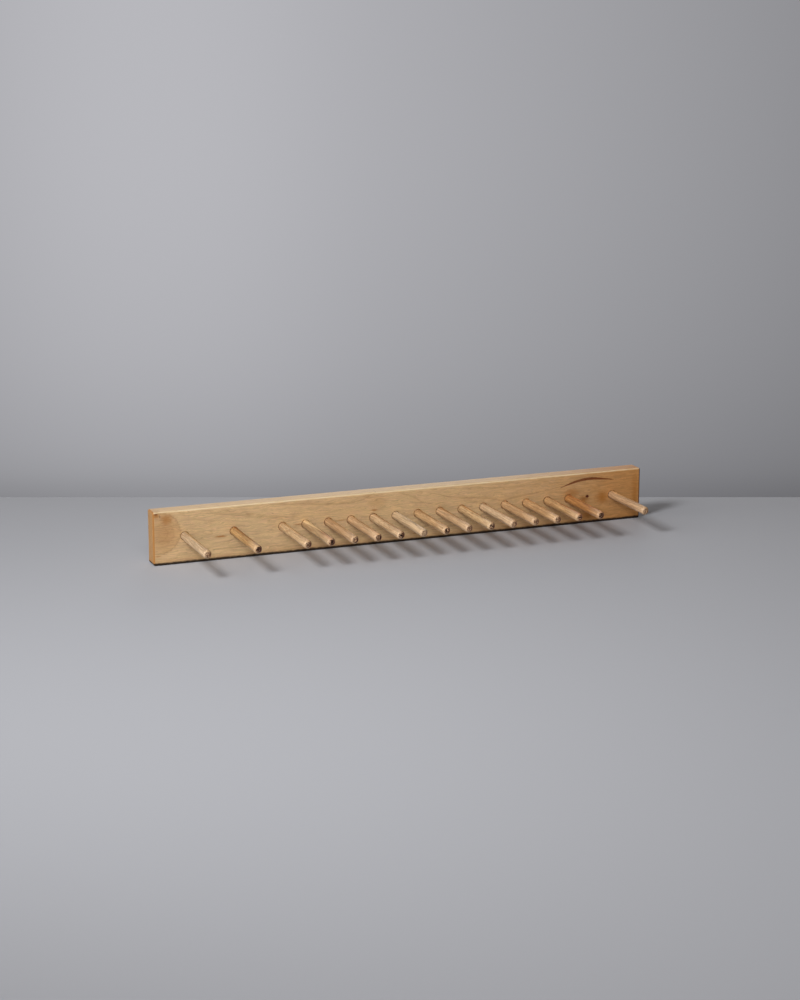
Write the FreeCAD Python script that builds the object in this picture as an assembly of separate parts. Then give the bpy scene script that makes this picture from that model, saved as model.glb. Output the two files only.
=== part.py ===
import FreeCAD, Part
import os
from FreeCAD import Vector

# Peg loom: one hardwood board with a row of round pegs, each an easy push fit in its own
# blind hole. The board stands on its long bottom edge. +X runs along the board, +Z is up, and
# the pegs point out of the front face along -Y. The origin is the middle of the bottom edge,
# halfway through the board's thickness. All sizes are in millimetres.

# Board
board_length = 610.0
board_height = 62.0
board_thickness = 21.0
edge_round = 2.5            # radius of the board's edges and corners
foot_round = 0.8            # radius of the two long bottom edges, which the board stands between

# Row of pegs, from the left end
left_margin = 37.0          # board's left end to the first peg
right_margin = 38.0         # last peg to the board's right end
wide_gap = 58.0             # between the spaced-out pegs at the two ends of the row
wide_gaps_left = 2
wide_gaps_right = 1
narrow_gaps = 13            # equal gaps that share what the wide ones leave

# Pegs
peg_diameter = 9.5
peg_length = 101.6
peg_height = 32.0           # board's bottom edge up to the pegs' axes
tip_face_diameter = 6.5     # flat left at the end of the tapered tip
tip_taper = 2.5             # length of the taper
foot_chamfer = 0.8
warp_hole_diameter = 2.5    # cross hole that a warp end is tied through
warp_hole_height = 6.0      # from the peg's foot up to the cross hole's middle

# Blind holes in the board
seat_depth = 13.0           # how far a peg goes in
peg_play = 0.1              # clearance all round a peg, so that it lifts out by hand
mouth_chamfer = 0.5         # eased rim of each hole
spur_diameter = 2.0         # mark that the drill's centre point leaves in the floor of a hole
spur_depth = 1.5

front_face = -board_thickness / 2
seat_floor = front_face + seat_depth
narrow_gap = (
    board_length - left_margin - right_margin
    - (wide_gaps_left + wide_gaps_right) * wide_gap
) / narrow_gaps

peg_radius = peg_diameter / 2
hole_radius = peg_radius + peg_play


def peg_places():
    """Places along X of the pegs, from left to right."""
    gaps = (
        [wide_gap] * wide_gaps_left
        + [narrow_gap] * narrow_gaps
        + [wide_gap] * wide_gaps_right
    )
    places = [left_margin - board_length / 2]
    for gap in gaps:
        places.append(places[-1] + gap)
    return places


def turned(outline):
    """Solid of revolution about the Y axis, from (radius, y) points that start and end on it."""
    points = [Vector(radius, y, 0) for radius, y in outline]
    half_section = Part.Face(Part.makePolygon(points + points[:1]))
    return half_section.revolve(Vector(0, 0, 0), Vector(0, 1, 0), 360)


def drilled_hole():
    """Cutter for one blind hole: the bore, its eased mouth and the drill's spur mark."""
    rim_radius = hole_radius + mouth_chamfer
    return turned([
        (0, front_face - mouth_chamfer),
        (rim_radius + mouth_chamfer, front_face - mouth_chamfer),
        (hole_radius, front_face + mouth_chamfer),
        (hole_radius, seat_floor),
        (spur_diameter / 2, seat_floor),
        (0, seat_floor + spur_depth),
    ])


def foot_edges(shape):
    """The two long bottom edges of the board."""
    return [
        edge for edge in shape.Edges
        if edge.BoundBox.ZMax < foot_round and edge.BoundBox.XLength > board_length / 2
    ]


def make_board():
    """Board with every edge rounded over and one blind hole for each peg."""
    blank = Part.makeBox(
        board_length, board_thickness, board_height,
        Vector(-board_length / 2, front_face, 0),
    )
    feet = foot_edges(blank)
    others = [edge for edge in blank.Edges if not any(edge.isSame(foot) for foot in feet)]
    rounded = blank.makeFillet(edge_round, others)
    board = rounded.makeFillet(foot_round, foot_edges(rounded))
    cutter = drilled_hole()
    cutters = [cutter.translated(Vector(x, 0, peg_height)) for x in peg_places()]
    return board.cut(Part.Compound(cutters)).Solids[0]


def make_peg():
    """Dowel with a tapered tip, an eased foot that sits on its hole's floor, and a warp hole."""
    tip = seat_floor - peg_length
    dowel = turned([
        (0, tip),
        (tip_face_diameter / 2, tip),
        (peg_radius, tip + tip_taper),
        (peg_radius, seat_floor - foot_chamfer),
        (peg_radius - foot_chamfer, seat_floor),
        (0, seat_floor),
    ])
    warp_hole = Part.makeCylinder(
        warp_hole_diameter / 2, 2 * peg_diameter,
        Vector(-peg_diameter, seat_floor - warp_hole_height, 0), Vector(1, 0, 0),
    )
    return dowel.cut(warp_hole).Solids[0]


def save(node, shape):
    """Write one sub-part to its own STEP file."""
    shape.exportStep(os.path.join("parts", node + ".step"))


os.makedirs("parts", exist_ok=True)
save("board", make_board())
peg = make_peg()
for number, x in enumerate(peg_places(), start=1):
    save(f"peg_{number:02d}", peg.translated(Vector(x, 0, peg_height)))
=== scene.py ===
import math
from functools import partial

import bpy
from bpy.props import FloatProperty, FloatVectorProperty, PointerProperty
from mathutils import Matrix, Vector


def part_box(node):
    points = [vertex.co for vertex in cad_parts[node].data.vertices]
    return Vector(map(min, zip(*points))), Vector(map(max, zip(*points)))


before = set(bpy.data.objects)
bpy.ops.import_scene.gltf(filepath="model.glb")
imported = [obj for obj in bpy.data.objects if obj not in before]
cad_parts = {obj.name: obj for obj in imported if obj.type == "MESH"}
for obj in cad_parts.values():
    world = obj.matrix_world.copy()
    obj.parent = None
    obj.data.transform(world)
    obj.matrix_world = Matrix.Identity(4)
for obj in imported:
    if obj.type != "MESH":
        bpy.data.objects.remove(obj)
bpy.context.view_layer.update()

bl_info = {
    "name": "Peg loom",
    "version": (1, 0, 0),
    "blender": (4, 5, 0),
    "location": "3D View > Sidebar > Peg loom",
    "description": "Gives a wooden peg loom its oiled finish and sets it on a pale table",
    "category": "Object",
}

# The CAD model's box, and the places that everything below is measured from, in metres.
BOARD_LOW, BOARD_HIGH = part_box("board")
PEGS = sorted(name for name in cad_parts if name.startswith("peg_"))
MM = 0.001
BLEND = {"output": 2, "data_type": "RGBA"}   # a mix of two colours: sockets 0, 6 and 7


def linear(code):
    """Linear RGB of an sRGB hex colour."""
    parts = [int(code[i:i + 2], 16) / 255 for i in (1, 3, 5)]
    return tuple(c / 12.92 if c <= 0.04045 else ((c + 0.055) / 1.055) ** 2.4 for c in parts)


def opaque(colour):
    """The same colour with the fourth number that a shader's colour socket takes."""
    return (*colour[:3], 1.0)


def per(*sizes):
    """Scale of a pattern whose features are this large in millimetres along x, y and z."""
    return tuple(1 / size for size in sizes)


def add(tree, kind, feeds=None, output=0, curve=None, stops=None, **settings):
    """Add one node with its settings, feed its sockets, and return one of its outputs.

    A curve is a row of (place, level) points, and stops are a ramp's (place, grey) pairs.
    """
    node = tree.nodes.new("ShaderNode" + kind)
    if kind == "TexNoise":
        node.inputs["Scale"].default_value = 1.0   # a pattern is as large as its vector says
    for name, value in settings.items():
        setattr(node, name, value)
    for socket, value in (feeds or {}).items():
        if isinstance(value, bpy.types.NodeSocket):
            tree.links.new(value, node.inputs[socket])
        else:
            node.inputs[socket].default_value = value
    if curve:
        line = node.mapping.curves[0]
        line.points[0].location, line.points[1].location = curve[0], curve[-1]
        for place in curve[1:-1]:
            line.points.new(*place)
        node.mapping.update()
    if stops:
        ramp = node.color_ramp
        for number, (place, grey) in enumerate(stops):
            stop = ramp.elements[number] if number < 2 else ramp.elements.new(place)
            stop.position, stop.color = place, (grey, grey, grey, 1.0)
    return node.outputs[output]


def empty_tree(block, kind):
    """Empty node tree of a material or world, and the socket its surface goes into."""
    block.use_nodes = True
    tree = block.node_tree
    tree.nodes.clear()
    return tree, tree.nodes.new("ShaderNodeOutput" + kind).inputs["Surface"]


def new_material(name):
    """A material that is a principled shader so far, with its node tree and that shader."""
    material = bpy.data.materials.new(name)
    tree, surface = empty_tree(material, "Material")
    shader = tree.nodes.new("ShaderNodeBsdfPrincipled")
    tree.links.new(shader.outputs["BSDF"], surface)
    return material, tree, shader


class BoardFinish(bpy.types.PropertyGroup):
    """Colours and figure of the board's oiled maple."""

    sapwood: FloatVectorProperty(
        name="Sapwood", description="Pale wood of most of the board", subtype="COLOR",
        default=linear("#D5B586"))
    heartwood: FloatVectorProperty(
        name="Heartwood", description="Honey brown wood at the right end", subtype="COLOR",
        default=linear("#BF874C"))
    blush: FloatVectorProperty(
        name="Blush", description="Pinkish clouds in the sapwood", subtype="COLOR",
        default=linear("#D0AA84"))
    amber: FloatVectorProperty(
        name="Amber", description="Patches where the wood took up more oil", subtype="COLOR",
        default=linear("#A86820"))
    late_wood: FloatVectorProperty(
        name="Late wood", description="Thin line at the end of each year's growth",
        subtype="COLOR", default=linear("#8C5C30"))
    streak: FloatVectorProperty(
        name="Mineral streak", description="Long red-brown streak near the right end",
        subtype="COLOR", default=linear("#6C2A00"))
    stain: FloatVectorProperty(
        name="Stain", description="Pin knot and short streaks", subtype="COLOR",
        default=linear("#541A08"))
    end_grain: FloatVectorProperty(
        name="End grain", description="Sawn ends of the board", subtype="COLOR",
        default=linear("#A67F51"))
    oily_sapwood: FloatVectorProperty(
        name="Oily sapwood", description="Rounding beside the left end, which drank more oil",
        subtype="COLOR", default=linear("#A8743A"))
    # Painted shade: with the oil-dark wood, this brown stands in for shade on the right end's far
    # side.
    heartwood_edge_shade: FloatVectorProperty(
        name="Oily heartwood", description="Rounding beside the right end, which drank more oil",
        subtype="COLOR", default=linear("#6E320A"))
    bore: FloatVectorProperty(
        name="Bore", description="Bare wood in the holes, browned by the drill", subtype="COLOR",
        default=linear("#5E3A1E"))
    # Painted highlight: the pale edges along the top stand in for the light they catch.
    painted_edge_highlight: FloatVectorProperty(
        name="Worn edge", description="Rounded edges, rubbed paler", subtype="COLOR",
        default=linear("#E8D4AE"))
    # Painted shade: this near-black band stands in for the contact shadow under the foot's edges.
    painted_foot_shadow: FloatVectorProperty(
        name="Grime", description="Dust and wax along the foot", subtype="COLOR",
        default=linear("#0E0806"))
    ring_width: FloatProperty(
        name="Ring width", description="Depth of one year's growth", unit="LENGTH",
        default=2.2 * MM)
    fibre_width: FloatProperty(
        name="Fibre width", description="Width of one bundle of fibres", unit="LENGTH",
        default=0.9 * MM)


class PegFinish(bpy.types.PropertyGroup):
    """What the pegs' oiled birch has in common."""

    fleck: FloatVectorProperty(
        name="Fleck", description="Short dark flecks along the grain", subtype="COLOR",
        default=linear("#7C4A28"))
    soaked: FloatVectorProperty(
        name="Soaked", description="Oiled end grain of the tips", subtype="COLOR",
        default=linear("#7C3A18"))
    # Painted shade: the dark far side of each tip's taper, away from the light.
    painted_rim_shade: FloatVectorProperty(
        name="Rim", description="Far side of the turned taper, dark with oil", subtype="COLOR",
        default=linear("#5A2410"))
    # Also colours the painted shade of the crescent on each tip's far rim.
    tip: FloatVectorProperty(
        name="Tip", description="Dark blotches in the end grain", subtype="COLOR",
        default=linear("#200800"))
    cut: FloatVectorProperty(
        name="Fresh cut", description="Turned taper of the tips", subtype="COLOR",
        default=linear("#E4C29C"))
    seat: FloatVectorProperty(
        name="Seat line", description="Dark line where a peg enters the board",
        subtype="COLOR", default=linear("#6A3C1C"))
    wedge: FloatVectorProperty(
        name="Wedge", description="Pale wedge of sapwood on one stick", subtype="COLOR",
        default=linear("#DAB684"))
    fibre_width: FloatProperty(
        name="Fibre width", description="Width of one bundle of fibres", unit="LENGTH",
        default=0.9 * MM)
    ring_width: FloatProperty(
        name="Ring width", description="One year's growth", unit="LENGTH", default=2.0 * MM)


class StageSettings(bpy.types.PropertyGroup):
    """Table, wall and lamps."""

    table: FloatVectorProperty(
        name="Table", description="Matt pale grey table", subtype="COLOR",
        default=linear("#B5B7BD"))
    wall: FloatVectorProperty(
        name="Wall", description="Plain wall behind the table", subtype="COLOR",
        default=linear("#B5B5BA"))
    key_size: FloatProperty(
        name="Key size", description="Side of the softbox", unit="LENGTH", default=0.45)
    key_spread: FloatProperty(
        name="Key spread", description="Angle that the softbox's grid lets through",
        subtype="ANGLE", default=math.radians(127.0))
    key_power: FloatProperty(
        name="Key power", description="Softbox", unit="POWER", default=11.8)
    fill_size: FloatProperty(
        name="Fill size", description="Side of the frontal fill", unit="LENGTH", default=1.0)
    fill_power: FloatProperty(
        name="Fill power", description="Frontal fill", unit="POWER", default=13.0)
    side_size: FloatProperty(
        name="Side size", description="Side of the large lamp on the left", unit="LENGTH",
        default=2.4)
    side_power: FloatProperty(
        name="Side power", description="Large lamp on the left", unit="POWER", default=57.0)
    back_size: FloatProperty(
        name="Back size", description="Side of the lamp behind the loom", unit="LENGTH",
        default=1.3)
    back_power: FloatProperty(
        name="Back power", description="Lamp behind the loom", unit="POWER", default=9.5)
    room: FloatVectorProperty(
        name="Room", description="Weak warm light from all around", subtype="COLOR",
        default=linear("#FFEADA"))
    room_strength: FloatProperty(
        name="Room strength", description="How strong the light from all around is",
        default=0.080)
    backdrop: FloatVectorProperty(
        name="Backdrop", description="What shows past the wall and the table", subtype="COLOR",
        default=linear("#A6A8AE"))
    lens: FloatProperty(
        name="Lens", description="Focal length", unit="CAMERA", default=83.74)


class LoomSettings(bpy.types.PropertyGroup):
    """All the settings of the loom."""

    board: PointerProperty(type=BoardFinish)
    pegs: PointerProperty(type=PegFinish)
    stage: PointerProperty(type=StageSettings)


def millimetres(put):
    """Place on a piece in millimetres, in the frame of the whole loom at rest."""
    place = put("TexCoord", output="Object")
    return put("VectorMath", {0: place, "Scale": 1 / MM}, operation="SCALE")


def drift(put, place, sizes):
    """Smooth shift to all sides, up to half a unit each way, in patches of these sizes."""
    patch = put("VectorMath", {0: place, 1: per(*sizes)}, operation="MULTIPLY")
    patch = put("TexNoise", {"Vector": patch, "Detail": 1.0}, output="Color")
    return put("VectorMath", {0: patch, 1: (0.5, 0.5, 0.5)}, operation="SUBTRACT")


# Soft ellipses are gone at this share of their size, and reach this deep in millimetres.
SPOT_EDGE = 1.25
SPOT_DEPTH = 50.0


def spots(put, place, inner, rows):
    """Soft ellipses, strongest out to the share inner of their size.

    Each row: middle x and z, half length and height, strength.
    """
    whole = 0.0
    for x, z, long, high, strength in rows:
        away = put("VectorMath", {0: place, 1: (x, 0.0, z)}, operation="SUBTRACT")
        away = put("VectorMath", {0: away, 1: per(long, SPOT_DEPTH, high)},
                   operation="MULTIPLY")
        away = put("VectorMath", {0: away}, output="Value", operation="LENGTH")
        spot = put("MapRange", {"Value": away, "From Min": SPOT_EDGE, "From Max": inner,
                                "To Max": strength}, interpolation_type="SMOOTHSTEP")
        whole = put("Math", {0: whole, 1: spot}, operation="MAXIMUM")
    return whole


# Thin lines are solid out to the first share of their half width and gone at the second. They
# taper to both ends, along the way from 0 to 1, to a hair. A curve node holds 0 to 1, so their
# heights in millimetres are divided by the span.
VEIN_CORE, VEIN_EDGE = 0.7, 1.4
VEIN_TAPER = ((0.0, 0.0), (0.12, 0.4), (0.5, 1.0), (0.85, 0.5), (1.0, 0.0))
VEIN_HAIR = 0.02
VEIN_SPAN = 100.0


def veins(put, x, z, rows):
    """Thin lines that wander in x and z.

    Each row: ends in x, half width, strength, and the way as shares along and heights.
    """
    whole = 0.0
    for start, end, half, strength, way in rows:
        share = put("MapRange", {"Value": x, "From Min": start, "From Max": end})
        path = put("FloatCurve", {1: share}, curve=[
            (place, level / VEIN_SPAN) for place, level in way])
        off = put("Math", {0: path, 1: -VEIN_SPAN, 2: z}, operation="MULTIPLY_ADD")
        off = put("Math", {0: off}, operation="ABSOLUTE")
        body = put("FloatCurve", {1: share}, curve=VEIN_TAPER)
        body = put("Math", {0: body, 1: half}, operation="MULTIPLY")
        body = put("Math", {0: body, 1: VEIN_HAIR}, operation="MAXIMUM")
        off = put("Math", {0: off, 1: body}, operation="DIVIDE")
        line = put("MapRange", {"Value": off, "From Min": VEIN_EDGE, "From Max": VEIN_CORE,
                                "To Max": strength}, interpolation_type="SMOOTHSTEP")
        whole = put("Math", {0: whole, 1: line}, operation="MAXIMUM")
    return whole


WOOD_IOR = 1.5
BOARD_SHEEN, PEG_SHEEN = 0.32, 0.35
RAISED_GRAIN = 0.06 * MM


def oil(name, material, tree, shader, colour, rough, sheen, relief):
    """Give a piece its coloured wood, with raised grain and satin oil."""
    tree.links.new(colour, shader.inputs["Base Color"])
    tree.links.new(rough, shader.inputs["Roughness"])
    shader.inputs["IOR"].default_value = WOOD_IOR
    shader.inputs["Specular IOR Level"].default_value = sheen
    bump = add(tree, "Bump", {"Strength": 0.5, "Distance": RAISED_GRAIN, "Height": relief})
    tree.links.new(bump, shader.inputs["Normal"])
    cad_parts[name].data.materials[0] = material


# The board's figure, from its left end (0) to its right end (1): how many rings are crossed
# along their middle line, as a share of the most; the height of that line, as a share of the
# board's; how far apart the rings lie above and below it, as a share of the furthest in
# millimetres; and the share of heartwood.
MOST_RINGS = 10.0
RINGS_CROSSED = (
    (0.0, 0.05), (0.013, 0.0), (0.052, 0.2), (0.1, 0.27), (0.21, 0.36), (0.5, 0.52),
    (0.75, 0.66), (1.0, 0.85))
RING_MIDDLE = (
    (0.0, 0.60), (0.13, 0.60), (0.287, 0.58), (0.352, 0.53), (0.431, 0.645), (0.50, 0.645),
    (0.561, 0.53), (0.652, 0.37), (0.697, 0.31), (0.74, 0.355), (0.83, 0.484), (0.889, 0.55),
    (0.926, 0.50), (1.0, 0.44))
FURTHEST_PITCH = 12.0
RING_PITCH = ((0.0, 0.95), (0.05, 0.95), (0.12, 0.62), (0.3, 0.48), (1.0, 0.36))
HEARTWOOD_SHARE = (
    (0.0, 0.10), (0.1, 0.02), (0.4, 0.07), (0.5, 0.03), (0.7, 0.20), (0.83, 0.52),
    (0.92, 0.84), (1.0, 1.0))
# How dark the wood is through one year's growth, on the board and on a peg.
BOARD_YEAR = ((0.0, 0.5), (0.05, 0.0), (0.55, 0.0), (0.8, 0.25), (0.95, 1.0), (1.0, 0.5))
PEG_YEAR = ((0.0, 0.6), (0.1, 0.0), (0.5, 0.0), (0.88, 1.0), (1.0, 0.6))
# Swirl near the board's left end: its middle and reach in millimetres, then its lines from the
# middle (0) to the reach (1).
SWIRL_MIDDLE = (-297.0, 0.0, 37.0)
SWIRL_REACH = 30.0
SWIRL_LINES = (
    (0.0, 0.0), (0.26, 0.0), (0.30, 0.16), (0.34, 0.0), (0.50, 0.0), (0.53, 0.12), (0.56, 0.0),
    (0.75, 0.0), (0.795, 0.32), (0.83, 0.0))
# Marks of the board, in millimetres: middle x and z, half length and height, strength. The
# patches go right through, and the others are on the front.
AMBER_PATCHES = (
    (-289, 52, 10, 9, 0.75), (-301, 58, 6, 4.5, 0.95), (-36, 51, 14, 10, 0.24),
    (-46, 57, 9, 5, 0.20), (214, 38, 14, 8, 0.62), (229, 29, 9, 7, 0.80), (254, 30, 11, 9, 0.90),
    (238, 10, 24, 7, 0.85), (298, 30, 6, 30, 0.65), (90, 10, 30, 5, 0.12),
    (-291, 35, 21, 23, 0.38))
AMBER_MARKS = (
    (-226.2, 27.2, 8.0, 1.3, 0.75), (-300.0, 11.1, 5.0, 1.0, 0.65), (-133.5, 32.6, 6.0, 1.0, 0.65),
    (-81.0, 32.5, 9.0, 0.8, 0.60), (-40.2, 41.0, 5.0, 1.2, 0.80), (-260.0, 25.0, 5.0, 0.9, 0.40),
    (-248.0, 12.0, 6.0, 1.0, 0.45), (12.0, 8.0, 5.0, 0.8, 0.40), (-190.0, 50.0, 7.0, 0.8, 0.30))
STAIN_MARKS = (
    (234.0, 33.2, 2.7, 2.2, 1.0), (230.5, 30.5, 6.0, 2.2, 0.25), (-301.5, 59.5, 3.0, 1.2, 0.55),
    (-296.5, 56.5, 0.9, 2.4, 0.45))
# Lines of the board's front, in millimetres: ends in x, half width, strength, then the way: how
# far along (0 to 1) and how high.
MINERAL_STREAK = (
    (197, 270, 1.5, 0.95, ((0, 45.5), (0.15, 49.4), (0.37, 53.2), (0.55, 54.3), (0.8, 52.8),
                           (1, 50.5))),)
LONG_LINES = (
    (-175, -28, 1.1, 0.24, ((0, 59), (0.31, 56.4), (0.58, 52.8), (0.81, 54.5), (0.91, 60.3),
                            (1, 66))),
    (14, 208, 1.1, 0.24, ((0, 58), (0.12, 53.3), (0.22, 48), (0.41, 43.4), (0.5, 40.8),
                          (0.56, 37.8), (0.63, 40), (0.7, 41.7), (0.86, 45), (1, 49.8))),
    (60, 190, 0.9, 0.16, ((0, 58), (0.3, 55), (0.6, 53), (1, 57))),
    (-270, -120, 0.9, 0.16, ((0, 60), (0.3, 53), (0.6, 46), (1, 42))),
    (-275, -100, 0.9, 0.16, ((0, 10), (0.4, 13), (0.7, 9), (1, 4))),
    (-20, 30, 1.0, 0.16, ((0, 60), (0.4, 56), (0.8, 45), (1, 36))))
# Heights on the board, in millimetres: how far below its top the edges carry the painted
# highlight, and where the extra amber and the painted shadow along its foot begin and are full.
HIGHLIGHT_BAND = 4.0
FOOT_OIL_TOP, FOOT_SHADOW_TOP, FOOT_FULL = 9.0, 4.0, 2.0
# Room round the bores, in millimetres: how far behind the front they begin, their reach round
# the axis, the place behind their floors where they end, and the distance to the board's ends.
BORE_MOUTH, BORE_REACH, BORE_END, BORE_MARGIN = 0.45, 6.5, 9.0, 8.0


class LOOM_OT_finish_board(bpy.types.Operator):
    """Put planed, sanded and oiled maple on the board"""

    bl_idname = "loom.finish_board"
    bl_label = "Finish the board"

    def execute(self, context):
        look = context.scene.loom.board
        # Flat-sawn maple: close pale wood with thin brown arcs of late wood, faint silky
        # streaks along the grain, and ends that drank more oil. The satin oil leaves a soft
        # grey sheen where the light grazes it.
        material, tree, shader = new_material("oiled_maple")
        put = partial(add, tree)
        mm = millimetres(put)
        length = (BOARD_HIGH.x - BOARD_LOW.x) / MM
        height = (BOARD_HIGH.z - BOARD_LOW.z) / MM
        front = BOARD_LOW.y / MM

        # The grain wanders: slow waves, and a finer waver across the fibres.
        slow = drift(put, mm, (24, 8, 6))
        grain = put("VectorMath", {0: slow, 1: (16.0, 4.0, 8.0), 2: mm},
                    operation="MULTIPLY_ADD")
        fine = drift(put, mm, (4.4, 1.6, 1.4))
        grain = put("VectorMath", {0: fine, 1: (4.0, 0.4, 0.7), 2: grain},
                    operation="MULTIPLY_ADD")
        x, y, z = (put("SeparateXYZ", {0: grain}, output=axis) for axis in "XYZ")
        along = put("MapRange", {"Value": x, "From Min": -length / 2, "From Max": length / 2})

        # Yearly rings: circles round a small swirl near the left end, drawn out into long
        # arches along the board, with a middle line that rises and dips. Each year is drawn
        # with a strength of its own, and fades in and out.
        crossed = put("FloatCurve", {1: along}, curve=RINGS_CROSSED)
        crossed = put("Math", {0: crossed, 1: MOST_RINGS}, operation="MULTIPLY")
        middle = put("FloatCurve", {1: along}, curve=RING_MIDDLE)
        rise = put("Math", {0: middle, 1: -height, 2: z}, operation="MULTIPLY_ADD")
        pitch = put("FloatCurve", {1: along}, curve=RING_PITCH)
        pitch = put("Math", {0: pitch, 1: FURTHEST_PITCH}, operation="MULTIPLY")
        rise = put("Math", {0: rise, 1: pitch}, operation="DIVIDE")
        face = put("CombineXYZ", {"X": crossed, "Y": rise})
        ring = put("VectorMath", {0: face}, output="Value", operation="LENGTH")
        depth = put("Math", {0: y, 1: front}, operation="SUBTRACT")
        depth = put("Math", {0: depth, 1: look.ring_width / MM}, operation="DIVIDE")
        ring = put("Math", {0: ring, 1: depth}, operation="ADD")
        year = put("Math", {0: ring}, operation="FRACT")
        late = put("ValToRGB", {0: year}, stops=BOARD_YEAR)
        number = put("Math", {0: ring}, operation="FLOOR")
        vigour = put("TexWhiteNoise", {"W": number}, noise_dimensions="1D")
        fade = put("VectorMath", {0: mm, 1: per(14, 5, 5)}, operation="MULTIPLY")
        fade = put("TexNoise", {"Vector": fade, "Detail": 1.0})
        fade = put("MapRange", {"Value": fade, "From Min": 0.34, "From Max": 0.58})
        late = put("Math", {0: late, 1: fade}, operation="MULTIPLY")
        strength = put("MapRange", {"Value": vigour, "To Min": 0.05, "To Max": 0.26})
        late = put("Math", {0: late, 1: strength}, operation="MULTIPLY")

        # Bundles of fibres and short pores, both drawn several times their real width so that
        # they show.
        width = look.fibre_width / MM
        fibre = put("VectorMath", {0: grain, 1: per(40 * width, width, width)},
                    operation="MULTIPLY")
        fibre = put("TexNoise", {"Vector": fibre, "Detail": 3.0, "Roughness": 0.6})
        pore = put("VectorMath", {0: grain, 1: per(4, 0.5, 0.5)}, operation="MULTIPLY")
        pore = put("TexNoise", {"Vector": pore, "Detail": 1.0})
        pore = put("MapRange", {"Value": pore, "From Min": 0.63, "From Max": 0.74})

        # Colour of the wood, from sapwood to heartwood, with pinkish clouds.
        honey = put("FloatCurve", {1: along}, curve=HEARTWOOD_SHARE)
        colour = put("Mix", {0: honey, 6: opaque(look.sapwood), 7: opaque(look.heartwood)},
                     **BLEND)
        cloud = put("VectorMath", {0: grain, 1: per(11, 3, 2.6)}, operation="MULTIPLY")
        cloud = put("TexNoise", {"Vector": cloud, "Detail": 2.0})
        pink = put("MapRange", {"Value": cloud, "From Min": 0.42, "From Max": 0.68,
                                "To Max": 0.6})
        pale = put("Math", {0: 1.0, 1: honey}, operation="SUBTRACT")
        pink = put("Math", {0: pink, 1: pale}, operation="MULTIPLY")
        for share, tone in ((pink, look.blush), (late, look.late_wood)):
            colour = put("Mix", {0: share, 6: colour, 7: opaque(tone)}, **BLEND)
        silk = put("MapRange", {"Value": fibre, "From Min": 0.36, "From Max": 0.64,
                                "To Min": 0.92, "To Max": 1.24})
        shade = put("MapRange", {"Value": pore, "To Min": 1.0, "To Max": 0.80})
        for light in (silk, shade):
            colour = put("VectorMath", {0: colour, "Scale": light}, operation="SCALE")

        # Marks: amber patches right through, and on the front only the swirl's golden wood,
        # small amber marks, long lines with the swirl's own, the mineral streak, and stains
        # with the pin knot. The finer waver makes their outlines ragged.
        patches = put("VectorMath", {0: fine, 1: (7.0, 0.0, 5.0), 2: mm},
                      operation="MULTIPLY_ADD")
        patches = spots(put, patches, 0.0, AMBER_PATCHES)
        swirl = put("VectorMath", {0: fine, 1: (5.0, 0.0, 4.0), 2: mm}, operation="MULTIPLY_ADD")
        swirl = put("VectorMath", {0: swirl, 1: SWIRL_MIDDLE}, operation="SUBTRACT")
        swirl = put("VectorMath", {0: swirl, 1: (1 / SWIRL_REACH, 0.0, 1 / SWIRL_REACH)},
                    operation="MULTIPLY")
        swirl = put("VectorMath", {0: swirl}, output="Value", operation="LENGTH")
        golden = put("MapRange", {"Value": swirl, "From Min": 0.82, "From Max": 0.76,
                                  "To Max": 0.16})
        marks = put("VectorMath", {0: fine, 1: (2.0, 0.0, 1.6), 2: mm},
                    operation="MULTIPLY_ADD")
        marks_x, marks_z = (put("SeparateXYZ", {0: marks}, output=axis) for axis in "XZ")
        smudge = spots(put, marks, 0.3, AMBER_MARKS)
        circles = put("ValToRGB", {0: swirl}, stops=SWIRL_LINES)
        lines = put("Math", {0: veins(put, marks_x, marks_z, LONG_LINES), 1: circles},
                    operation="MAXIMUM")
        path = put("VectorMath", {0: fine, 1: (0.0, 0.0, 1.0), 2: mm}, operation="MULTIPLY_ADD")
        path_x, path_z = (put("SeparateXYZ", {0: path}, output=axis) for axis in "XZ")
        uneven = put("MapRange", {"Value": fibre, "From Min": 0.35, "From Max": 0.6,
                                  "To Min": 0.82, "To Max": 1.0})
        streak = put("Math", {0: veins(put, path_x, path_z, MINERAL_STREAK), 1: uneven},
                     operation="MULTIPLY")
        stain = spots(put, marks, 0.5, STAIN_MARKS)
        place_x, place_y, place_z = (put("SeparateXYZ", {0: mm}, output=axis) for axis in "XYZ")
        front_half = put("Math", {0: place_y, 1: 0.0}, operation="LESS_THAN")
        golden, smudge, lines, streak, stain = (
            put("Math", {0: mark, 1: front_half}, operation="MULTIPLY")
            for mark in (golden, smudge, lines, streak, stain))
        for share, tone in (
                (patches, look.amber), (golden, look.amber), (smudge, look.amber),
                (lines, look.late_wood), (streak, look.streak), (stain, look.stain)):
            colour = put("Mix", {0: share, 6: colour, 7: opaque(tone)}, **BLEND)
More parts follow.
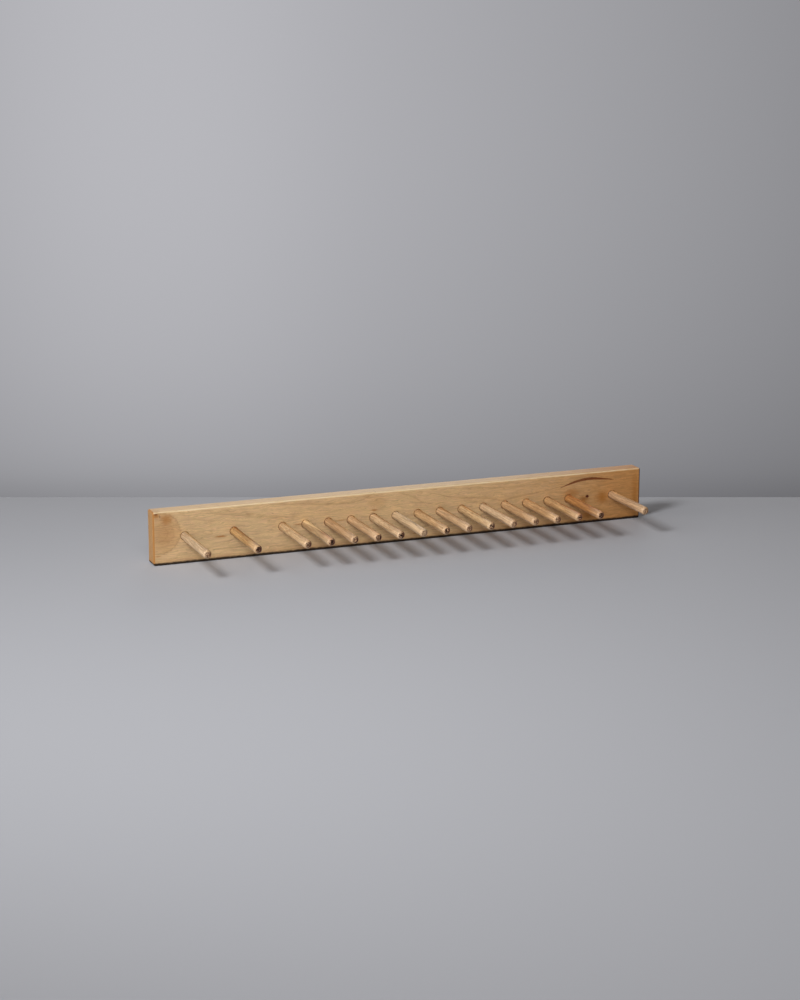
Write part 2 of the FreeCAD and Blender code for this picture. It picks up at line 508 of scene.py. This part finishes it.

        # Sawn ends with the rings' arcs and with ray flecks, 1.4 mm long through the board and
        # 0.6 mm high, coarser than real. The rounding beside the left end drank more oil. Beside
        # the right end its dark brown is partly oil-dark wood and partly painted shade, on the
        # side away from the light. They are told apart by which way the surface faces.
        facing = put("TexCoord", output="Normal")
        facing = put("VectorMath", {0: facing}, operation="ABSOLUTE")
        face_x, face_y, face_z = (put("SeparateXYZ", {0: facing}, output=axis) for axis in "XYZ")
        end = put("MapRange", {"Value": face_x, "From Min": 0.80, "From Max": 0.97})
        beside = put("MapRange", {"Value": face_x, "From Min": 0.08, "From Max": 0.45})
        oil_and_shade = put("Mix", {0: honey, 6: opaque(look.oily_sapwood),
                           7: opaque(look.heartwood_edge_shade)}, **BLEND)
        rays = put("VectorMath", {0: mm, 1: per(1.0, 10 / 7, 5 / 9)}, operation="MULTIPLY")
        rays = put("TexNoise", {"Vector": rays, "Detail": 2.0})
        rays = put("MapRange", {"Value": rays, "From Min": 0.35, "From Max": 0.65,
                                "To Min": 0.82, "To Max": 1.16})
        sawn = put("VectorMath", {0: look.end_grain, "Scale": rays}, operation="SCALE")
        arcs = put("Math", {0: late, 1: 6.0}, operation="MULTIPLY", use_clamp=True)
        sawn = put("Mix", {0: arcs, 6: sawn, 7: opaque(look.late_wood)}, **BLEND)
        for share, tone in ((beside, oil_and_shade), (end, sawn)):
            colour = put("Mix", {0: share, 6: colour, 7: tone}, **BLEND)

        # Painted highlight: the rounded edges of the upper part drawn paler in places, where
        # the light catches them.
        flat = put("Math", {0: face_x, 1: face_y}, operation="MAXIMUM")
        flat = put("Math", {0: flat, 1: face_z}, operation="MAXIMUM")
        painted_edge_highlight = put("MapRange", {"Value": flat, "From Min": 0.97, "From Max": 0.80})
        away = put("Math", {0: 1.0, 1: beside}, operation="SUBTRACT")
        high = put("Math", {0: place_z, 1: height - HIGHLIGHT_BAND}, operation="GREATER_THAN")
        highlight_breakup = put("MapRange", {"Value": cloud, "From Min": 0.35, "From Max": 0.6,
                               "To Min": 0.55, "To Max": 0.95})
        for share in (away, high, highlight_breakup):
            painted_edge_highlight = put("Math", {0: painted_edge_highlight, 1: share}, operation="MULTIPLY")

        # Bores: bare wood browned by the drill, from just inside the mouth to below the floor.
        peg_low, peg_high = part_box(PEGS[0])
        axis_z = (peg_low.z + peg_high.z) / 2 / MM
        bore = put("Math", {0: place_y, 1: front + BORE_MOUTH}, operation="GREATER_THAN")
        level = put("Math", {0: place_z, 1: axis_z, 2: BORE_REACH}, operation="COMPARE")
        before_back = put("Math", {0: place_y, 1: BORE_END}, operation="LESS_THAN")
        between_ends = put("Math", {0: place_x, 1: 0.0, 2: length / 2 - BORE_MARGIN},
                           operation="COMPARE")
        for share in (level, before_back, between_ends, 0.8):
            bore = put("Math", {0: bore, 1: share}, operation="MULTIPLY")

        # Towards the foot the wood is more amber. A ragged near-black band along the foot's
        # edges is painted shade: the contact shadow under them.
        low = put("MapRange", {"Value": place_z, "From Min": FOOT_OIL_TOP,
                               "From Max": FOOT_FULL, "To Max": 0.3},
                  interpolation_type="SMOOTHSTEP")
        foot_shadow_band = put("MapRange", {"Value": marks_z, "From Min": FOOT_SHADOW_TOP,
                                "From Max": FOOT_FULL, "To Max": 0.96},
                   interpolation_type="SMOOTHSTEP")
        for share, tone in ((painted_edge_highlight, look.painted_edge_highlight), (bore, look.bore), (low, look.amber),
                            (foot_shadow_band, look.painted_foot_shadow)):
            colour = put("Mix", {0: share, 6: colour, 7: opaque(tone)}, **BLEND)

        # The fibres shine unevenly, sawn ends, stains and the streak stay dull, and the top is
        # polished by hands. Fibres stand proud, and pores and stains lie deeper.
        rough = put("MapRange", {"Value": fibre, "From Min": 0.3, "From Max": 0.7,
                                 "To Min": 0.32, "To Max": 0.46})
        rough = put("Math", {0: end, 1: 0.2, 2: rough}, operation="MULTIPLY_ADD")
        dull = put("Math", {0: stain, 1: streak}, operation="MAXIMUM")
        rough = put("Math", {0: dull, 1: 0.35, 2: rough}, operation="MULTIPLY_ADD")
        polish = put("MapRange", {"Value": face_z, "From Min": 0.5, "To Max": -0.03})
        rough = put("Math", {0: rough, 1: polish}, operation="ADD")
        relief = put("Math", {0: pore, 1: -0.5, 2: fibre}, operation="MULTIPLY_ADD")
        relief = put("Math", {0: stain, 1: -0.6, 2: relief}, operation="MULTIPLY_ADD")
        oil("board", material, tree, shader, colour, rough, BOARD_SHEEN, relief)
        return {"FINISHED"}


# One stick per peg, from the left: its two tones, how far the boundary between them leans (mm
# across per mm along), how dark its flecks are, then its tip: how much oil it drank, how dark
# the painted shade on the far side of its rim is, how clear the growth rings are, and dark
# marks (middle x and z, half width and height in mm, strength).
STICKS = (
    ("#C4AA88", "#E3B374", 0.00, 0.55, 0.40, 0.45, 0.0, ()),
    ("#B7915F", "#A76324", 0.02, 0.90, 0.85, 0.90, 0.0, (
        (-0.7, 0.6, 0.7, 2.9, 1), (1, -0.3, 2.1, 0.7, 1), (1, 1.5, 1.2, 0.8, 0.9))),
    ("#C7A77E", "#E3AD6F", 0.00, 0.75, 0.45, 0.80, 0.0, (
        (-1, 1, 0.7, 0.7, 0.9), (0.6, 0.2, 0.7, 0.8, 0.9), (-0.6, -1, 0.7, 0.7, 0.8),
        (1.7, 1.2, 0.7, 0.9, 0.8))),
    ("#AD906A", "#AB6F44", -0.07, 0.40, 0.55, 0.80, 0.0, (
        (0.6, 0.7, 1, 2, 1), (-0.1, -0.7, 1, 1.6, 1))),
    ("#B39069", "#EAB376", 0.01, 0.50, 0.25, 0.85, 0.0, (
        (-1.5, -0.2, 0.7, 1.7, 0.6),)),
    ("#BC9A73", "#EAA964", -0.02, 0.60, 0.35, 0.85, 0.0, (
        (-1.7, 0, 0.5, 3.1, 0.7), (0.1, 0, 0.5, 3.4, 0.8), (2, 0.2, 0.8, 2.6, 1))),
    ("#C6A881", "#BD7B41", 0.00, 0.70, 0.35, 0.90, 0.0, (
        (-0.2, 0.4, 1.6, 1, 1), (0.7, -0.4, 1, 1, 1))),
    ("#C5A883", "#EAD2B1", 0.00, 0.15, 0.05, 0.45, 0.5, ()),
    ("#BC986D", "#D3934D", -0.01, 0.60, 0.50, 0.70, 0.0, (
        (-1, 0.8, 0.9, 1.8, 1), (-0.2, -1, 1.3, 0.9, 0.9))),
    ("#BF9D76", "#C3874E", 0.03, 0.50, 0.45, 0.50, 0.3, (
        (0.4, 0.9, 1, 0.8, 0.7),)),
    ("#C7A77B", "#D7924F", 0.02, 0.75, 0.40, 0.75, 0.0, (
        (-1, 0.9, 1.6, 0.7, 0.9), (1.3, 0.1, 1.2, 1, 0.9))),
    ("#C6A884", "#EAAC71", 0.00, 0.45, 0.10, 0.60, 0.0, (
        (1.9, 0.7, 0.8, 1, 0.8), (0.3, 1.8, 0.9, 0.5, 0.5))),
    ("#BB966D", "#D08D4D", 0.00, 0.50, 0.25, 0.45, 0.0, (
        (0.7, 0, 0.5, 3.4, 0.8), (-1.7, 0.4, 0.5, 1.8, 0.4))),
    ("#C1986A", "#EAA562", 0.01, 0.50, 0.35, 0.75, 0.0, (
        (0, 0.7, 2.1, 0.5, 0.6), (0.7, -1, 1.6, 0.5, 0.5))),
    ("#BA9365", "#CB7230", -0.03, 0.50, 0.20, 0.60, 0.0, (
        (0.1, 0.2, 2.6, 0.8, 1),)),
    ("#AC7845", "#EA8A45", 0.00, 0.50, 0.85, 0.75, 0.0, (
        (0.4, 0, 2.3, 2.9, 0.7),)),
    ("#B79470", "#EAB16E", 0.02, 0.35, 0.10, 0.40, 0.8, ()),
)
# One stick's pale wedge on its upper side: the peg, then in millimetres the wedge's half width
# at the board, its length, and how far inside and outside its edge it fades.
WEDGE_PEG, WEDGE_HALF, WEDGE_LENGTH = "peg_04", 3.6, 66.0
WEDGE_INSIDE, WEDGE_OUTSIDE = 0.4, 0.3
# Places along a peg from its tip, in millimetres: where its two tones meet, where the rubbed
# wood begins and is full, the same for the taper and for the tip's flat, and where the painted
# shade on the taper's far side ends. The seat line is placed from the board's front.
TONES_MEET = 45.0
RUBBED_FROM, RUBBED_FULL = 30.0, 6.0
TAPER_FROM, TAPER_FULL = 2.8, 2.3
FLAT_FROM, FLAT_FULL = 0.16, 0.04
FAR_SIDE_END = 2.6
SEAT_FROM, SEAT_FULL = 0.8, 0.2
# The pith's distance from a peg's axis in millimetres, and its side in degrees: of the first
# peg, and how much further round it lies on each of the next.
PITH_AWAY = 9.0
PITH_SIDE, PITH_STEP = 25, 67
# The painted shade on the tip's far rim, in millimetres: how far to the left of and above the
# axis it is centred, and where it begins and is full round there; then where the painted shade
# on the taper's far side begins and is full to the right of the axis.
RIM_LEFT, RIM_UP, RIM_FROM, RIM_FULL = 1.0, 0.3, 2.4, 3.0
FAR_SIDE_FROM, FAR_SIDE_FULL = 1.4, 2.8


class LOOM_OT_finish_pegs(bpy.types.Operator):
    """Put sanded and oiled birch on every peg, each from a stick of its own"""

    bl_idname = "loom.finish_pegs"
    bl_label = "Finish the pegs"

    def execute(self, context):
        look = context.scene.loom.pegs
        width = look.fibre_width / MM
        for number, (name, stick) in enumerate(zip(PEGS, STICKS, strict=True)):
            light, dark, lean, flecks, drank, rim_shade_strength, rings, marks = stick
            # Birch dowel: long fibres, short brown flecks, two tones where the growth rings
            # change, and a darker tip where the end grain drank the oil. Satin.
            material, tree, shader = new_material("oiled_birch_" + name)
            put = partial(add, tree)

            # Millimetres across, along from the tip, and up, from the middle of the tip.
            low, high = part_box(name)
            tip = ((low.x + high.x) / 2 / MM, low.y / MM, (low.z + high.z) / 2 / MM)
            seat = (BOARD_LOW.y - low.y) / MM
            mm = millimetres(put)
            place = put("VectorMath", {0: mm, 1: tip}, operation="SUBTRACT")
            across, along = (put("SeparateXYZ", {0: place}, output=axis) for axis in "XY")

            # The fibres waver a little along the stick. They, the flecks and the vessels are
            # drawn wider than real so that they show, and each stick takes them from a place
            # of its own in the pattern.
            waver = drift(put, mm, (8, 40, 8))
            grain = put("VectorMath", {0: waver, 1: (0.8, 0.0, 0.8), 2: place},
                        operation="MULTIPLY_ADD")
            fibre = put("VectorMath", {0: grain, 1: per(width, 30, width),
                                       2: (0.0, 7.0 * number, 0.0)}, operation="MULTIPLY_ADD")
            fibre = put("TexNoise", {"Vector": fibre, "Detail": 1.0})

            # Growth rings round a pith that lies outside the stick, on a side of its own.
            turn = math.radians(PITH_SIDE + PITH_STEP * number)
            pith = (PITH_AWAY * math.cos(turn), 0.0, PITH_AWAY * math.sin(turn))
            ring = put("VectorMath", {0: grain, 1: pith}, operation="SUBTRACT")
            ring = put("VectorMath", {0: ring, 1: (1.0, 0.0, 1.0)}, operation="MULTIPLY")
            ring = put("VectorMath", {0: ring}, output="Value", operation="LENGTH")
            ring = put("Math", {0: ring, 1: look.ring_width / MM}, operation="DIVIDE")
            ring = put("Math", {0: ring}, operation="FRACT")
            late = put("ValToRGB", {0: ring}, stops=PEG_YEAR)

            # Two tones with a soft ragged boundary that crosses the axis halfway along.
            tone = put("Math", {0: along, 1: -TONES_MEET}, operation="ADD")
            tone = put("Math", {0: tone, 1: lean, 2: across}, operation="MULTIPLY_ADD")
            ragged = put("Math", {0: fibre, 1: 2.0, 2: -1.0}, operation="MULTIPLY_ADD")
            tone = put("Math", {0: tone, 1: ragged}, operation="ADD")
            tone = put("MapRange", {"Value": tone, "From Min": -2.0, "From Max": 2.4},
                       interpolation_type="SMOOTHSTEP")
            colour = put("Mix", {0: tone, 6: opaque(linear(light)), 7: opaque(linear(dark))},
                         **BLEND)
            silk = put("MapRange", {"Value": fibre, "From Min": 0.40, "From Max": 0.58,
                                    "To Min": 0.70, "To Max": 1.12})
            colour = put("VectorMath", {0: colour, "Scale": silk}, operation="SCALE")

            # Late wood, long hairline vessels and short flecks.
            fleck = put("VectorMath", {0: grain, 1: per(0.8, 9, 0.8),
                                       2: (0.0, 5.0 * number, 0.0)}, operation="MULTIPLY_ADD")
            fleck = put("TexNoise", {"Vector": fleck, "Detail": 1.0})
            fleck = put("MapRange", {"Value": fleck, "From Min": 0.56, "From Max": 0.64,
                                     "To Max": 0.85 * flecks})
            vessel = put("VectorMath", {0: grain, 1: per(2, 45, 2),
                                        2: (3.0 * number, 0.0, 0.0)}, operation="MULTIPLY_ADD")
            vessel = put("TexNoise", {"Vector": vessel, "Detail": 0.0})
            vessel = put("Math", {0: vessel, 1: 0.5}, operation="SUBTRACT")
            vessel = put("Math", {0: vessel}, operation="ABSOLUTE")
            vessel = put("MapRange", {"Value": vessel, "From Min": 0.05, "From Max": 0.015,
                                      "To Max": 0.40})
            shade = put("Math", {0: late, 1: 0.20}, operation="MULTIPLY")
            for line in (vessel, fleck):
                shade = put("Math", {0: shade, 1: line}, operation="MAXIMUM")

            # Paler towards the tip, where hands and yarn rub it, and on the turned taper.
            rubbed = put("MapRange", {"Value": along, "From Min": RUBBED_FROM,
                                      "From Max": RUBBED_FULL, "To Max": 0.30},
                         interpolation_type="SMOOTHSTEP")
            rubbed = put("Math", {0: rubbed, 1: silk}, operation="MULTIPLY")
            taper = put("MapRange", {"Value": along, "From Min": TAPER_FROM,
                                     "From Max": TAPER_FULL, "To Max": 0.15})
            coats = [(shade, look.fleck), (rubbed, look.cut), (taper, look.cut)]
            if name == WEDGE_PEG:
                half = put("MapRange", {"Value": along, "From Min": seat - WEDGE_LENGTH,
                                        "From Max": seat, "To Max": WEDGE_HALF})
                wedge = put("Math", {0: across}, operation="ABSOLUTE")
                wedge = put("Math", {0: half, 1: wedge}, operation="SUBTRACT")
                wedge = put("MapRange", {"Value": wedge, "From Min": -WEDGE_OUTSIDE,
                                         "From Max": WEDGE_INSIDE})
                up = put("SeparateXYZ", {0: place}, output="Z")
                above = put("Math", {0: up, 1: 0.0}, operation="GREATER_THAN")
                wedge = put("Math", {0: wedge, 1: above}, operation="MULTIPLY")
                coats.insert(2, (wedge, look.wedge))

            # Flat of the tip: end grain that drank the oil, blotched pale and dark. A crescent of
            # painted shade darkens its far rim, away from the light, and runs on as painted shade
            # over the taper's far side.
            flat = put("MapRange", {"Value": along, "From Min": FLAT_FROM,
                                    "From Max": FLAT_FULL})
            soaked = put("Math", {0: flat, 1: 0.35 + 0.6 * drank}, operation="MULTIPLY")
            cloud = put("VectorMath", {0: place, 1: per(1.5, 1.5, 1.5),
                                       2: (3.0 * number, 0.0, 0.0)}, operation="MULTIPLY_ADD")
            cloud = put("TexNoise", {"Vector": cloud, "Detail": 2.0})
            pale = put("MapRange", {"Value": cloud, "From Min": 0.48, "From Max": 0.44,
                                    "To Max": 0.8})
            pale = put("Math", {0: pale, 1: flat}, operation="MULTIPLY")
            blotch = put("MapRange", {"Value": cloud, "From Min": 0.51, "From Max": 0.56,
                                      "To Max": 0.35 + 0.65 * drank})
            painted_rim_shade = put("VectorMath", {0: place, 1: (RIM_LEFT, 0.0, -RIM_UP)}, operation="ADD")
            painted_rim_shade = put("VectorMath", {0: painted_rim_shade, 1: (1.0, 0.0, 1.0)}, operation="MULTIPLY")
            painted_rim_shade = put("VectorMath", {0: painted_rim_shade}, output="Value", operation="LENGTH")
            painted_rim_shade = put("MapRange", {"Value": painted_rim_shade, "From Min": RIM_FROM, "From Max": RIM_FULL,
                                   "To Max": rim_shade_strength})
            clear = put("Math", {0: late, 1: rings}, operation="MULTIPLY")
            grain_and_rim_shade = blotch
            for mark in (painted_rim_shade, clear, spots(put, place, 0.85, marks)):
                grain_and_rim_shade = put("Math", {0: grain_and_rim_shade, 1: mark}, operation="MAXIMUM")
            grain_and_rim_shade = put("Math", {0: grain_and_rim_shade, 1: flat}, operation="MULTIPLY")
            taper_far_shade = put("MapRange", {"Value": across, "From Min": FAR_SIDE_FROM,
                                        "From Max": FAR_SIDE_FULL, "To Max": 0.95 * rim_shade_strength})
            on_taper = put("Math", {0: along, 1: FAR_SIDE_END}, operation="LESS_THAN")
            taper_far_shade = put("Math", {0: taper_far_shade, 1: on_taper}, operation="MULTIPLY")

            # A dark line where the stick enters the board, and the drilled wood beyond it.
            entry = put("MapRange", {"Value": along, "From Min": seat - SEAT_FROM,
                                     "From Max": seat - SEAT_FULL, "To Max": 0.35})
            coats += [(soaked, look.soaked), (pale, look.cut), (grain_and_rim_shade, look.tip),
                      (taper_far_shade, look.painted_rim_shade), (entry, look.seat)]
            for share, paint in coats:
                colour = put("Mix", {0: share, 6: colour, 7: opaque(paint)}, **BLEND)

            # The fibres shine unevenly, and the sawn tip stays dull.
            rough = put("MapRange", {"Value": fibre, "From Min": 0.3, "From Max": 0.7,
                                     "To Min": 0.36, "To Max": 0.50})
            rough = put("Math", {0: flat, 1: 0.35, 2: rough}, operation="MULTIPLY_ADD")
            relief = put("Math", {0: fleck, 1: -0.6, 2: fibre}, operation="MULTIPLY_ADD")
            oil(name, material, tree, shader, colour, rough, PEG_SHEEN, relief)
        return {"FINISHED"}


# The stage, in metres. Lamps are placed from the middle of the board, and the camera from the
# middle of its front bottom edge.
CAMERA_PLACE = (-0.9727, -2.4432, 0.6944)
CAMERA_TURN, CAMERA_DIP = math.radians(21.55), math.radians(13.783)
SENSOR_WIDTH = 36.0                # millimetres
TABLE_HALF = 8.0
TABLE_DROP = 0.05 * MM             # the table lies a hair below the foot
WALL_HALF, WALL_TOP = 3.0, 4.0
WALL_AWAY = 2.846                  # level distance from the camera
# How bright the wall is, from one side of the camera's line to the other (0 to 1), this far to
# each side, and from the table (0) to this height (1).
WALL_SIDE_SPAN, WALL_UP_SPAN = 0.5, 0.62
WALL_ACROSS = ((0.0, 0.95), (0.2, 1.03), (0.5, 0.88), (0.8, 0.715), (1.0, 0.60))
WALL_UP = ((0.0, 0.57), (0.02, 0.62), (0.07, 0.73), (0.15, 0.81), (0.4, 0.94), (1.0, 1.0))


def add_sheet(name, corners, material):
    """Flat sheet with four corners, in the scene."""
    mesh = bpy.data.meshes.new(name)
    mesh.from_pydata(corners, [], [(0, 1, 2, 3)])
    mesh.materials.append(material)
    sheet = bpy.data.objects.new(name, mesh)
    bpy.context.collection.objects.link(sheet)
    return sheet


class LOOM_OT_set_stage(bpy.types.Operator):
    """Set up the table, wall, lamps and camera"""

    bl_idname = "loom.set_stage"
    bl_label = "Set the stage"

    def execute(self, context):
        look = context.scene.loom.stage

        camera = bpy.data.objects.new("camera", bpy.data.cameras.new("camera"))
        camera.data.sensor_width = SENSOR_WIDTH
        camera.data.lens = look.lens
        camera.location = Vector((0.0, BOARD_LOW.y, BOARD_LOW.z)) + Vector(CAMERA_PLACE)
        camera.rotation_euler = (math.pi / 2 - CAMERA_DIP, 0.0, -CAMERA_TURN)
        context.collection.objects.link(camera)
        context.scene.camera = camera

        # Table: a panel rolled with matt grey paint, so it takes soft shadows and hardly any
        # gloss.
        matt_paint, _, shader = new_material("matt_grey_paint")
        shader.inputs["Base Color"].default_value = opaque(look.table)
        shader.inputs["Roughness"].default_value = 0.7
        shader.inputs["Specular IOR Level"].default_value = 0.2
        side = TABLE_HALF
        table = add_sheet(
            "table", [(-side, -side, 0), (side, -side, 0), (side, side, 0), (-side, side, 0)],
            matt_paint)
        table.location.z = BOARD_LOW.z - TABLE_DROP

        # Wall: painted plain grey, brightest at the upper left. It is emission that only the
        # camera and reflections see, from its front, so it lights nothing else.
        wall_paint = bpy.data.materials.new("grey_wall_paint")
        tree, surface = empty_tree(wall_paint, "Material")
        put = partial(add, tree)
        seen = put("LightPath", output="Is Camera Ray")
        for ray in ("Is Glossy Ray", "Is Transmission Ray"):
            seen = put("Math", {0: seen, 1: put("LightPath", output=ray)}, operation="MAXIMUM")
        behind = put("NewGeometry", output="Backfacing")
        seen = put("Math", {0: seen, 1: behind}, operation="SUBTRACT", use_clamp=True)
        place = put("TexCoord", output="Object")
        x, z = (put("SeparateXYZ", {0: place}, output=axis) for axis in "XZ")
        level_x = put("MapRange", {"Value": x, "From Min": -WALL_SIDE_SPAN,
                                   "From Max": WALL_SIDE_SPAN})
        level_z = put("MapRange", {"Value": z, "From Max": WALL_UP_SPAN})
        fade_x = put("FloatCurve", {1: level_x}, curve=WALL_ACROSS)
        fade_z = put("FloatCurve", {1: level_z}, curve=WALL_UP)
        fade = put("Math", {0: fade_x, 1: fade_z}, operation="MULTIPLY")
        glow = put("Emission", {"Color": opaque(look.wall), "Strength": fade})
        mixed = put("MixShader", {0: seen, 1: put("BsdfTransparent"), 2: glow})
        tree.links.new(mixed, surface)
        wall = add_sheet(
            "wall", [(-WALL_HALF, 0, 0), (WALL_HALF, 0, 0), (WALL_HALF, 0, WALL_TOP),
                     (-WALL_HALF, 0, WALL_TOP)], wall_paint)
        heading = Vector((math.sin(CAMERA_TURN), math.cos(CAMERA_TURN), 0.0))
        wall.location = Vector((camera.location.x, camera.location.y, table.location.z))
        wall.location += heading * WALL_AWAY
        wall.rotation_euler = (0.0, 0.0, -CAMERA_TURN)
        wall.visible_diffuse = False
        wall.visible_shadow = False

        # Lamps: a softbox high on the left, turned past the loom so that its light lies evenly
        # on the table, a broad fill in front, a large one on the left and a weaker one behind.
        middle = Vector((0.0, 0.0, (BOARD_LOW.z + BOARD_HIGH.z) / 2))
        for name, place, aim, size, spread, power in (
                ("key", (-1.12, -0.76, 1.17), (1.8, 0.35, 0.0),
                 look.key_size, look.key_spread, look.key_power),
                ("fill", (-0.6, -2.6, 1.8), (-0.1, -1.2, 0.0),
                 look.fill_size, math.pi, look.fill_power),
                ("side", (-2.6, -0.5, 0.75), (0.0, 0.0, 0.0),
                 look.side_size, math.pi, look.side_power),
                ("back", (1.4, 3.2, 0.85), (0.0, 0.0, 0.0),
                 look.back_size, math.pi, look.back_power)):
            lamp = bpy.data.lights.new(name, "AREA")
            lamp.shape = "SQUARE"
            lamp.size, lamp.spread, lamp.energy = size, spread, power
            holder = bpy.data.objects.new(name, lamp)
            holder.location = middle + Vector(place)
            way = Vector(aim) - Vector(place)
            holder.rotation_euler = way.to_track_quat("-Z", "Y").to_euler()
            holder.visible_camera = False
            context.collection.objects.link(holder)

        # Room: weak warm light from all around, and a plain grey past the wall and the table.
        room = bpy.data.worlds.new("room")
        tree, surface = empty_tree(room, "World")
        put = partial(add, tree)
        seen = put("LightPath", output="Is Camera Ray")
        light = put("Background", {"Color": opaque(look.room), "Strength": look.room_strength})
        view = put("Background", {"Color": opaque(look.backdrop), "Strength": 1.0})
        tree.links.new(put("MixShader", {0: seen, 1: light, 2: view}), surface)
        context.scene.world = room
        context.scene.view_settings.view_transform = "Standard"
        return {"FINISHED"}


class LOOM_PT_sidebar(bpy.types.Panel):
    """The steps that set up and finish the loom"""

    bl_idname = "LOOM_PT_sidebar"
    bl_label = "Peg loom"
    bl_space_type = "VIEW_3D"
    bl_region_type = "UI"
    bl_category = "Peg loom"

    def draw(self, context):
        for step in STEPS:
            self.layout.operator(step.bl_idname)


STEPS = (LOOM_OT_set_stage, LOOM_OT_finish_board, LOOM_OT_finish_pegs)
CLASSES = (BoardFinish, PegFinish, StageSettings, LoomSettings, *STEPS, LOOM_PT_sidebar)


def register():
    for kind in CLASSES:
        bpy.utils.register_class(kind)
    bpy.types.Scene.loom = PointerProperty(type=LoomSettings)


def unregister():
    del bpy.types.Scene.loom
    for kind in reversed(CLASSES):
        bpy.utils.unregister_class(kind)


def main():
    register()
    bpy.ops.loom.set_stage()
    bpy.ops.loom.finish_board()
    bpy.ops.loom.finish_pegs()


if __name__ == "__main__":
    main()
